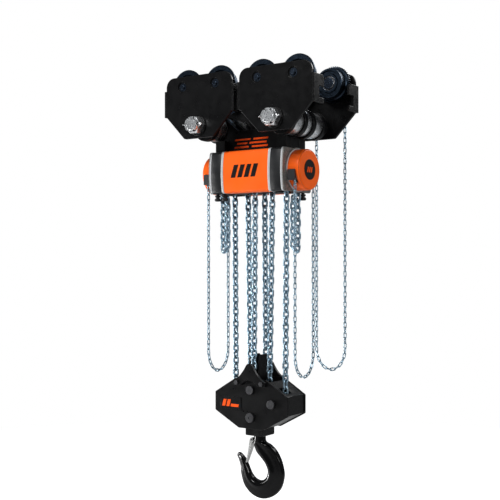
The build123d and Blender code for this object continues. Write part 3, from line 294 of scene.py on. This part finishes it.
def soften(names, width):
    """Rounds the edges of CAD nodes. Their mesh is split along edges, so it is welded first."""
    for name in names:
        weld = nodes[name].modifiers.new("weld", "WELD")
        weld.merge_threshold = 0.00002
        flat = nodes[name].modifiers.new("flat", "DECIMATE")
        flat.decimate_type, flat.angle_limit = "DISSOLVE", math.radians(0.4)
        bevel(nodes[name], width, 2, 35)


def arc(radius, start, end, steps, centre=(0, 0)):
    """Points on an arc, from one angle in degrees to another."""
    turns = [math.radians(start + (end - start) * k / steps) for k in range(steps + 1)]
    return [(centre[0] + radius * math.cos(a), centre[1] + radius * math.sin(a)) for a in turns]


def circle(radius, count):
    return arc(radius, 0, 360, count)[:-1]


def catmull_rom(p, q, r, s, t):
    """The curve from q to r, with p before them and s after, at t from 0 to 1."""
    bend = (2 * p - 5 * q + 4 * r - s) * t * t
    twist = (3 * q - p - 3 * r + s) * t ** 3
    return 0.5 * (2 * q + (r - p) * t + bend + twist)


def smooth_between(rows, steps):
    """Catmull-Rom points through rows of numbers."""
    out = []
    for n in range(len(rows) - 1):
        near = [rows[max(0, min(len(rows) - 1, n + k))] for k in (-1, 0, 1, 2)]
        for t in (k / steps for k in range(steps)):
            out.append([catmull_rom(*column, t) for column in zip(*near)])
    out.append(rows[-1])
    return out


def skin(bm, rings, closed=False):
    """Joins rings of points, all of one length, into a body with two ends, or into a closed loop."""
    made = [[bm.verts.new(p) for p in ring] for ring in rings]
    count = len(made[0])
    following = made[1:] + made[:1] if closed else made[1:]
    for a, b in zip(made, following):
        for n in range(count):
            m = (n + 1) % count
            bm.faces.new((a[n], a[m], b[m], b[n]))
    if not closed:
        bm.faces.new(made[0])
        bm.faces.new(made[-1])


def prism(bm, outline, depth, place):
    """Adds a prism: outline in the place's own x and y, in mm, from 0 to depth along its z."""
    skin(bm, [[place @ Vector((x * MM, y * MM, z * MM)) for x, y in outline] for z in (0, depth)])


def tube(bm, points, radius, sides):
    """A round bar through points."""
    points = [Vector(p) for p in points]
    last = len(points) - 1
    upright = abs((points[1] - points[0]).normalized().z) >= 0.8
    side = Vector((1, 0, 0)) if upright else Vector((0, 0, 1))
    rings = []
    for n, point in enumerate(points):
        run = (points[min(n + 1, last)] - points[max(n - 1, 0)]).normalized()
        side = (side - run * side.dot(run)).normalized()
        other = run.cross(side)
        rings.append([point + side * u + other * v for u, v in circle(radius, sides)])
    skin(bm, rings)


def front_place(x, y, z):
    """A place, in metres, whose x is +X, y is up and z points to the front, -Y."""
    return Matrix(((1, 0, 0, x), (0, 0, -1, y), (0, 1, 0, z), (0, 0, 0, 1)))


def back_place(x, y, z):
    """The same seen from behind: its z points to +Y."""
    return Matrix(((-1, 0, 0, x), (0, 0, 1, y), (0, 1, 0, z), (0, 0, 0, 1)))


def end_place(side, x, z):
    """A place at one end, side -1 or 1: y is up and z points out along X."""
    return Matrix(((0, 0, side, side * x), (side, 0, 0, 0), (0, 1, 0, z), (0, 0, 0, 1)))


# ---------------------------------------------------------------- hook

CORNER_STEPS, FLANK_STEPS, STATION_STEPS = 8, 9, 9
# Across a section, from 0 at the bowl to 1 outside: how far the chamfer goes, and where the hollow lies
CHAMFER_TO, HOLLOW_AT, HOLLOW_SPREAD = 0.3, 0.5, 0.13
CHAMFER_DEPTH, CHAMFER_POWER, HOLLOW_DEPTH = 0.5, 1.15, 0.12
# Along the hook, in stations: where the ridge starts and ends, and how slowly
RIDGE_START, RIDGE_GROWS, RIDGE_END, RIDGE_FADES = 3.0, 1.5, 16.0, 2.0


def rounded_section(inner, outer, half_in, half_out, round_in, round_out):
    """A ring of points round a hook section: wide inner side, narrower outer side, all corners rounded."""
    middle, reach = (inner + outer) / 2, (outer - inner) / 2
    length = reach.length
    along = reach / length
    corners = ((length, half_out, round_out, 0), (-length, half_in, round_in, 90),
               (-length, -half_in, round_in, 180), (length, -half_out, round_out, 270))
    bends = []
    for u, v, radius, start in corners:
        centre = (u - math.copysign(radius, u), v - math.copysign(radius, v))
        bends.append(arc(radius, start, start + 90, CORNER_STEPS, centre))
    flat = []
    for bend, after in zip(bends, bends[1:] + bends[:1]):
        (u0, v0), (u1, v1) = bend[-1], after[0]
        flat += bend
        for t in (k / FLANK_STEPS for k in range(1, FLANK_STEPS)):
            flat.append((u0 + (u1 - u0) * t, v0 + (v1 - v0) * t))
    return [(middle + along * u + Vector((0, v, 0))) * MM for u, v in flat]


def ridged(ring, inner, outer, amount):
    """Presses a forged section in beside its ridge: a chamfer towards the bowl, a hollow behind it."""
    inner, outer = inner * MM, outer * MM
    reach = outer - inner
    length = reach.length
    out = []
    for point in ring:
        t = (point - inner).dot(reach) / length ** 2
        chamfer = max(0.0, 1 - t / CHAMFER_TO) ** CHAMFER_POWER
        hollow = math.exp(-((t - HOLLOW_AT) / HOLLOW_SPREAD) ** 2)
        side = point.y * (1 - amount * (CHAMFER_DEPTH * chamfer + HOLLOW_DEPTH * hollow))
        out.append(Vector((point.x, side, point.z)))
    return out


def hook_rings():
    """Sections from shank to tip, in mm: inner x, z and outer x, z, then half widths and roundings."""
    stations = [
        (-28, -1436, 28, -1436, 28, 28, 27, 27), (-28, -1560, 28, -1560, 28, 28, 27, 27),
        (-28, -1618, 28, -1618, 28, 28, 27, 27), (-28, -1640, 33, -1638, 28, 27, 22, 24),
        (-25, -1662, 60, -1650, 29, 24, 14, 17), (-14, -1688, 90, -1672, 30, 20, 12, 13),
        (10, -1710, 114, -1704, 31, 17, 12, 11), (36, -1736, 131, -1744, 31, 15, 12, 10),
        (52, -1770, 138, -1792, 31, 14, 13, 10), (44, -1803, 119, -1852, 31, 14, 14, 10),
        (22, -1821, 72, -1895, 31, 14, 14, 10), (-4, -1826, 14, -1911, 31, 14, 14, 10),
        (-30, -1817, -42, -1897, 30, 14, 13, 10), (-50, -1797, -85, -1859, 28, 14, 12, 10),
        (-62, -1774, -105, -1808, 25, 13, 11, 9), (-75, -1752, -110, -1768, 21, 12, 9, 8),
        (-90, -1729, -121, -1738, 17, 10, 8, 7), (-103, -1714, -131.5, -1720, 12, 8, 6, 5.5),
        (-109, -1708.5, -131, -1712.5, 9.5, 6.8, 5, 4.5), (-114, -1705, -128, -1707, 6, 4.5, 3.5, 3),
        (-118.5, -1703.4, -123.5, -1704, 2, 1.8, 1.6, 1.5),
    ]
    rings = []
    for n, row in enumerate(smooth_between(stations, STATION_STEPS)):
        inner, outer = Vector((row[0], 0, row[1])), Vector((row[2], 0, row[3]))
        station = n / STATION_STEPS
        growing = max(0.0, station - RIDGE_START) / RIDGE_GROWS
        fading = max(0.0, RIDGE_END - station) / RIDGE_FADES
        amount = min(1.0, growing, fading)
        rings.append(ridged(rounded_section(inner, outer, *row[4:]), inner, outer, amount))
    return rings


bm = bmesh.new()
skin(bm, hook_rings())
hook = mesh_piece("hook_forging", "forged_black", "hook", bm)
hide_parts("hook")

# ---------------------------------------------------------------- latch

PIVOT = Vector((-40, 0, -1632)) * MM
LUG_R, LUG_HALF_Y = 9.0, 9.0
bm = bmesh.new()
lug = arc(LUG_R, 90, 300, 20) + [(16, -4), (16, 12)]
prism(bm, lug, 2 * LUG_HALF_Y, front_place(PIVOT.x, LUG_HALF_Y * MM, PIVOT.z))
bevel(mesh_piece("hook_latch_lug", "forged_black", "hook", bm, False), 0.0015)

# The latch is a pressed steel channel: two cheeks round the lug, and a plate that narrows to its lip.
LEAN = math.radians(15.5)
SHEET, FOLD, INNER_FOLD_Y, INNER_FOLD = 2.6, 1.6, 0.8, 0.6
CHEEK_R, CHEEK_IN, CHEEK_OUT = 9.2, 11.6, 15.2
down = Vector((-math.sin(LEAN), 0, -math.cos(LEAN)))
inward = Vector((math.cos(LEAN), 0, -math.sin(LEAN)))


def latch_point(along, toward, y):
    """A point of the latch: along it from the pivot, toward the bowl, and across."""
    return PIVOT + (down * along + inward * toward + Vector((0, y, 0))) * MM


# Along the latch: its half width, where its face lies, and how deep the channel is
latch_rows = smooth_between([
    (10, 15.2, 7.0, 17.0), (24, 15.2, 7.2, 16.0), (50, 14.4, 5.4, 11.0), (85, 13.0, 2.4, 7.0),
    (108, 12.0, 0.0, 4.6), (121, 11.0, -1.8, 3.4),
], 4)
rings = []
for along, half, face, depth in latch_rows:
    inside, back, lip = half - SHEET, face - SHEET, face - depth
    half_channel = [
        (inside - INNER_FOLD_Y, back), (inside, back - INNER_FOLD), (inside, lip),
        (half, lip), (half, face - FOLD), (half - FOLD, face),
    ]
    channel = half_channel + [(-y, t) for y, t in reversed(half_channel)]
    rings.append([latch_point(along, t, y) for y, t in channel])
bm = bmesh.new()
skin(bm, rings)
cheek = arc(CHEEK_R, 90, 270, 14) + [(24, -8.6), (24, 5)]
for side in (-1, 1):
    skin(bm, [[latch_point(x, t, y) for x, t in cheek] for y in (side * CHEEK_IN, side * CHEEK_OUT)])
latch = mesh_piece("safety_latch", "latch_steel", "hook_latch", bm, False)
bevel(latch, 0.0006, 2)
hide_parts("hook_latch")

SPRING_R, SPRING_Y, SPRING_LENGTH, SPRING_TURNS, SPRING_STEPS = 6.2, -9.6, 1.9, 4, 96
coil = []
for k, (x, z) in enumerate(arc(SPRING_R, 0, 360 * SPRING_TURNS, SPRING_STEPS)):
    coil.append(PIVOT + Vector((x, SPRING_Y - SPRING_LENGTH * (k / SPRING_STEPS), z)) * MM)
bm = bmesh.new()
tube(bm, coil, 0.0008, 8)
mesh_piece("latch_spring", "machined_steel", "hook", bm)

# ---------------------------------------------------------------- hook block

BAR_LEAN, BAR_SHEET = 0.28, 1.2


def bars(name, material, body, rows, place):
    """Plain slanted bars, as (x, y, length, height) in mm, raised a little from a face."""
    bm = bmesh.new()
    for x, y, length, height in rows:
        lean = height * BAR_LEAN
        outline = [(x, y), (x + length, y), (x + length + lean, y + height), (x + lean, y + height)]
        prism(bm, outline, BAR_SHEET, place)
    bevel(mesh_piece(name, material, body, bm, False), 0.0004, 2)


block_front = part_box("block_side_plates")[0][1]
block_faces = (("front", front_place(0, block_front, 0)), ("back", back_place(0, -block_front, 0)))

# A thin plate with plain bars, on both sides
PLATE_SHEET, PLATE_CORNER_R = 2.6, 5.0
plate_corners = ((-60, -1428, 0), (-170, -1428, 90), (-170, -1476, 180), (-60, -1476, 270))
plate_outline = []
for x, z, start in plate_corners:
    plate_outline += arc(PLATE_CORNER_R, start, start + 90, 6, (x, z))
label_rows = [(-166, -1470, 18, 34), (-141, -1470, 18, 34), (-116, -1470, 46, 14)]
for face, place in block_faces:
    bm = bmesh.new()
    prism(bm, plate_outline, PLATE_SHEET, place)
    bevel(mesh_piece(f"block_{face}_plate", "black_paint", "hook_block", bm, False), 0.0006, 2)
    on_plate = place @ Matrix.Translation((0, 0, PLATE_SHEET * MM))
    bars(f"block_{face}_label", "decal_orange", "hook_block", label_rows, on_plate)

# The block's covers go on up the slope as far as the inner falls, with a notch for the outer ones.
SLOPE, LOW_X, HIGH_X, NOTCH_X = 0.6, 150.0, 100.0, 144.0
COVER_HALF_Y, COVER_LOW_Z, COVER_SHEET = 70.9, -1370.0, 6.5
plan = [
    (HIGH_X, -COVER_HALF_Y), (LOW_X, -COVER_HALF_Y), (LOW_X, -55), (NOTCH_X, -55), (NOTCH_X, -5), (LOW_X, -5),
    (LOW_X, COVER_HALF_Y), (HIGH_X, COVER_HALF_Y),
]
for side, name in ((-1, "left"), (1, "right")):
    bm = bmesh.new()
    skin(bm, [[Vector((side * x, side * y, COVER_LOW_Z + (LOW_X - x) * SLOPE - drop)) * MM for x, y in plan]
              for drop in (COVER_SHEET, 0)])
    bevel(mesh_piece(f"block_{name}_slope", "black_paint", "hook_block", bm, False), 0.001, 2)

# Ear plates with a round tip outside the block, and the two centre guides between the falls.
EAR_IN, EAR_OUT, TIP_Z, TIP_R = 79.0, 95.0, -1278.0, 21.0
ARCH_Z, ARCH_R = -1391.8, 54.8
FIN_IN, FIN_OUT = 20.0, 28.0
flank = [(17, -1266), (24, -1278), (35, -1294), (52, -1314), (73, -1331), (92, -1342)]
half_ear = arc(TIP_R, 90, 50, 5, (0, TIP_Z)) + smooth_between(flank, 4)
half_ear.append((92, -1362))
half_ear += arc(ARCH_R, 33, 87, 9, (0, ARCH_Z))
ear_outline = half_ear + [(-x, z) for x, z in reversed(half_ear[1:])]
half_fin = [(28, -1217), (35.5, -1223), (46, -1262), (46, -1352)]
fin_outline = half_fin + [(-y, z) for y, z in reversed(half_fin)]
bm = bmesh.new()
for place in (front_place(0, -EAR_IN * MM, 0), back_place(0, EAR_IN * MM, 0)):
    prism(bm, ear_outline, EAR_OUT - EAR_IN, place)
for side in (-1, 1):
    skin(bm, [[Vector((side * x, y, z)) * MM for y, z in fin_outline] for x in (FIN_IN, FIN_OUT)])
ears = mesh_piece("block_ears", "black_paint", "hook_block", bm, False)
bevel(ears, 0.0018, 3)
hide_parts("ear_brackets")

# ---------------------------------------------------------------- load frame

frame_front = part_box("frame_plates")[0][1]
frame_rows = [
    (-112, -190, 92, 9), (-4, -190, 84, 9), (-100, -208, 60, 9), (-28, -208, 100, 9), (-116, -226, 84, 9),
    (-14, -226, 92, 9),
]
bars("frame_front_label", "decal_orange", "hoist", frame_rows, front_place(0, frame_front, 0))
bars("frame_back_label", "decal_orange", "hoist", frame_rows, back_place(0, -frame_front, 0))

# ---------------------------------------------------------------- crosshead

# Round heads over the crosshead's journals, on both sides: radius, and how far out
CROSSHEAD_Z = -1514.0
head_profile = ((23, 0), (23, 11), (21, 13), (6, 13.5), (5, 11.5), (0.5, 11))
for face, place in block_faces:
    centre = place @ Matrix.Translation((0, CROSSHEAD_Z * MM, 0))
    bm = bmesh.new()
    skin(bm, [[centre @ Vector((x * MM, y * MM, out * MM)) for x, y in circle(radius, 48)]
              for radius, out in head_profile])
    split_edges(mesh_piece(f"crosshead_{face}_head", "dark_steel", "hook_block", bm, True), 30)

# ---------------------------------------------------------------- housing

# The housing's front and back carry a plain emblem of four slanted strokes, bent to the bowed cover.
BODY_Z, HALF_Y, BULGE, BOW_HALF = -345.0, 117.0, 10.0, 100.0
BOW_R = (BOW_HALF ** 2 + BULGE ** 2) / (2 * BULGE)
STROKE_FOOT, STROKE_HEIGHT, STROKE_WIDTH, STROKE_LEAN, STROKE_STEPS = -374.0, 60.0, 25.0, 0.32, 6


def bowed(x, z, out, side):
    """A point on the housing's bowed face, out mm proud of it."""
    y = HALF_Y + BULGE - BOW_R + math.sqrt(BOW_R ** 2 - (z - BODY_Z) ** 2) + out
    return Vector((-side * x, side * y, z)) * MM


for side, face in ((-1, "front"), (1, "back")):
    bm = bmesh.new()
    for start in (-82, -44, -6, 32):
        rings = []
        for k in range(STROKE_STEPS + 1):
            rise = STROKE_HEIGHT * k / STROKE_STEPS
            left = start + rise * STROKE_LEAN
            right = left + STROKE_WIDTH
            ring = ((left, 0), (right, 0), (right, 1), (left, 1))
            rings.append([bowed(x, STROKE_FOOT + rise, out, side) for x, out in ring])
        skin(bm, rings)
    bevel(mesh_piece(f"{face}_cover_emblem", "decal_black", "hoist", bm, False), 0.0004, 2)


def turned(profile, side, count):
    """Rings of a body turned about the housing's axis: profile is (x, radius) on one side."""
    return [[Vector((side * x, u, BODY_Z + v)) * MM for u, v in circle(radius, count)]
            for x, radius in profile]


# A round badge with plain bars on the end of each hand wheel cover.
COVER_END, BADGE_R, BADGE_PROUD = 280.0, 47.5, 1.8
badge_profile = [
    (COVER_END - 0.5, BADGE_R), (COVER_END + 1.2, BADGE_R), (COVER_END + BADGE_PROUD, BADGE_R - 0.7),
    (COVER_END + BADGE_PROUD, 0.5),
]
badge_rows = [(-27, -14, 9, 26), (-11, -14, 9, 26), (5, -14, 9, 26)]
for side, name in ((-1, "left"), (1, "right")):
    bm = bmesh.new()
    skin(bm, turned(badge_profile, side, 64))
    mesh_piece(f"{name}_cover_badge", "decal_black", "hoist", bm, False)
    place = end_place(side, (COVER_END + BADGE_PROUD - 0.2) * MM, BODY_Z * MM)
    bars(f"{name}_badge_bars", "decal_orange", "hoist", badge_rows, place)

# A thin plated ring where each hand wheel cover meets its end plate.
COVER_FOOT, COVER_R = 213.0, 96.0
ring_profile = [
    (COVER_FOOT + 0.2, COVER_R + 0.3), (COVER_FOOT + 0.2, COVER_R + 6.5), (COVER_FOOT + 1.2, COVER_R + 7.5),
    (COVER_FOOT + 3.0, COVER_R + 7.2), (COVER_FOOT + 5.5, COVER_R + 3.0), (COVER_FOOT + 6.0, COVER_R + 0.3),
]
for side, name in ((-1, "left"), (1, "right")):
    bm = bmesh.new()
    skin(bm, turned(ring_profile, side, 96), closed=True)
    split_edges(mesh_piece(f"{name}_cover_ring", "trim_grey", "hoist", bm), 40)

# ---------------------------------------------------------------- split pins

SHAFT_X, SHAFT_Z, PIN_Y = 218.0, -124.0, 256.0
EYE_X, EYE_HALF_X, EYE_HALF_Y = 53.0, 8.0, 7.0
# A leg from the eye through the nut to its splayed end: along the pin, and out from its middle
pin_leg = smooth_between([
    (50, 0.9), (30, 1.6), (0, 1.6), (-34, 1.6), (-40, 2.4), (-44.5, 4.6), (-47, 7.8),
], 4)
for trolley, shaft_x in (("left", -SHAFT_X), ("right", SHAFT_X)):
    for face, pin_y in (("front", -PIN_Y), ("back", PIN_Y)):
        bm = bmesh.new()
        eye = [
            Vector((shaft_x + EYE_X + EYE_HALF_X * u, pin_y + EYE_HALF_Y * v, SHAFT_Z)) * MM
            for u, v in arc(1, 200, -160, 16)
        ]
        tube(bm, eye, 0.0018, 10)
        for bend in (-1, 1):
            leg = [Vector((shaft_x + along, pin_y + bend * out, SHAFT_Z)) * MM for along, out in pin_leg]
            tube(bm, leg, 0.0017, 10)
        name = f"split_pin_{trolley}_{face}"
        pin = mesh_piece(name, "zinc_steel", "hoist", bm)
        if name == "split_pin_left_front":
            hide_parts("cotter_pins")

# ---------------------------------------------------------------- edges of the CAD pieces

soften(["left_front_side_plate", "left_back_side_plate", "right_front_side_plate", "right_back_side_plate",
        "anti_drop_brackets", "frame_plates", "frame_cross_members", "block_side_plates", "block_covers",
        "crosshead", "hand_wheel_covers", "end_plates", "chain_guides"], 0.0012)
soften(["castle_nuts", "block_pins", "axle_retainers", "hook_nut", "shaft_washers", "suspension_shafts",
        "shaft_spacers", "body_trims", "body_bands"], 0.0006)

# ---------------------------------------------------------------- camera, floor and lights

scene = bpy.context.scene
camera = bpy.data.objects.new("camera", bpy.data.cameras.new("camera"))
scene.collection.objects.link(camera)
camera.location = (2.548, -3.723, -0.784)
camera.rotation_euler = (math.radians(90), 0, math.radians(35))
camera.data.lens, camera.data.sensor_width = 67.4, 36
camera.data.shift_y = 0.028
camera.data.clip_end = 100
scene.camera = camera


def staged_face(name, corners, material):
    """One flat face that only dresses the picture."""
    mesh = bpy.data.meshes.new(name)
    mesh.from_pydata(corners, [], [list(range(len(corners)))])
    piece = bpy.data.objects.new(name, mesh)
    scene.collection.objects.link(piece)
    mesh.materials.append(material)


# The floor looks bright, but throws little light up at the hoist.
FLOOR_Z, FLOOR_R, FLOOR_GLOW = -2.45, 5.5, 0.72
floor_look = Shader("pale_floor", (0.86, 0.86, 0.86), 0.7)
floor_look.roughen(floor_look.noise(0.3, 3), 0.1)
camera_ray = floor_look.tree.nodes.new("ShaderNodeLightPath").outputs["Is Camera Ray"]
glow = floor_look.math("MULTIPLY", camera_ray, FLOOR_GLOW)
floor_look.put(floor_look.surface.inputs["Emission Strength"], glow)
floor_look.surface.inputs["Emission Color"].default_value = (1, 1, 1, 1)
floor_look.surface.inputs["Specular IOR Level"].default_value = 0.1
staged_face("floor", [(x, y, FLOOR_Z) for x, y in circle(FLOOR_R, 96)], floor_look.finish())

# A dim world that looks white behind the hoist
world = bpy.data.worlds.new("studio")
scene.world = world
world.use_nodes = True
tree = world.node_tree
dim = tree.nodes["Background"]
dim.inputs["Color"].default_value = (0.94, 0.97, 1.0, 1)
dim.inputs["Strength"].default_value = 0.24
white = tree.nodes.new("ShaderNodeBackground")
white.inputs["Color"].default_value = (1, 1, 1, 1)
white.inputs["Strength"].default_value = 1.0
seen = tree.nodes.new("ShaderNodeLightPath")
either = tree.nodes.new("ShaderNodeMixShader")
tree.links.new(seen.outputs["Is Camera Ray"], either.inputs[0])
tree.links.new(dim.outputs[0], either.inputs[1])
tree.links.new(white.outputs[0], either.inputs[2])
tree.links.new(either.outputs[0], tree.nodes["World Output"].inputs["Surface"])


def soft_light(name, place, target, width, height, power):
    lamp = bpy.data.lights.new(name, "AREA")
    lamp.shape, lamp.size, lamp.size_y, lamp.energy = "RECTANGLE", width, height, power
    holder = bpy.data.objects.new(name, lamp)
    scene.collection.objects.link(holder)
    holder.location = place
    holder.rotation_euler = (Vector(target) - Vector(place)).to_track_quat("-Z", "Y").to_euler()


soft_light("key", (-0.5, -3.6, 2.6), (0, 0, -0.6), 1.3, 1.3, 140)
soft_light("fill", (4.4, -1.4, 0.8), (0, 0, -0.8), 1.2, 1.2, 60)
soft_light("left_strip", (-3.3, -1.3, -1.0), (0, 0, -1.0), 0.5, 2.4, 75)
soft_light("low_left", (-3.4, -1.0, -2.15), (0, 0, -1.7), 0.6, 0.5, 45)
soft_light("rim", (1.2, 3.4, 1.8), (0, 0, -0.4), 1.6, 1.6, 60)
scene.view_settings.view_transform = "Standard"
scene.view_settings.gamma = 0.9
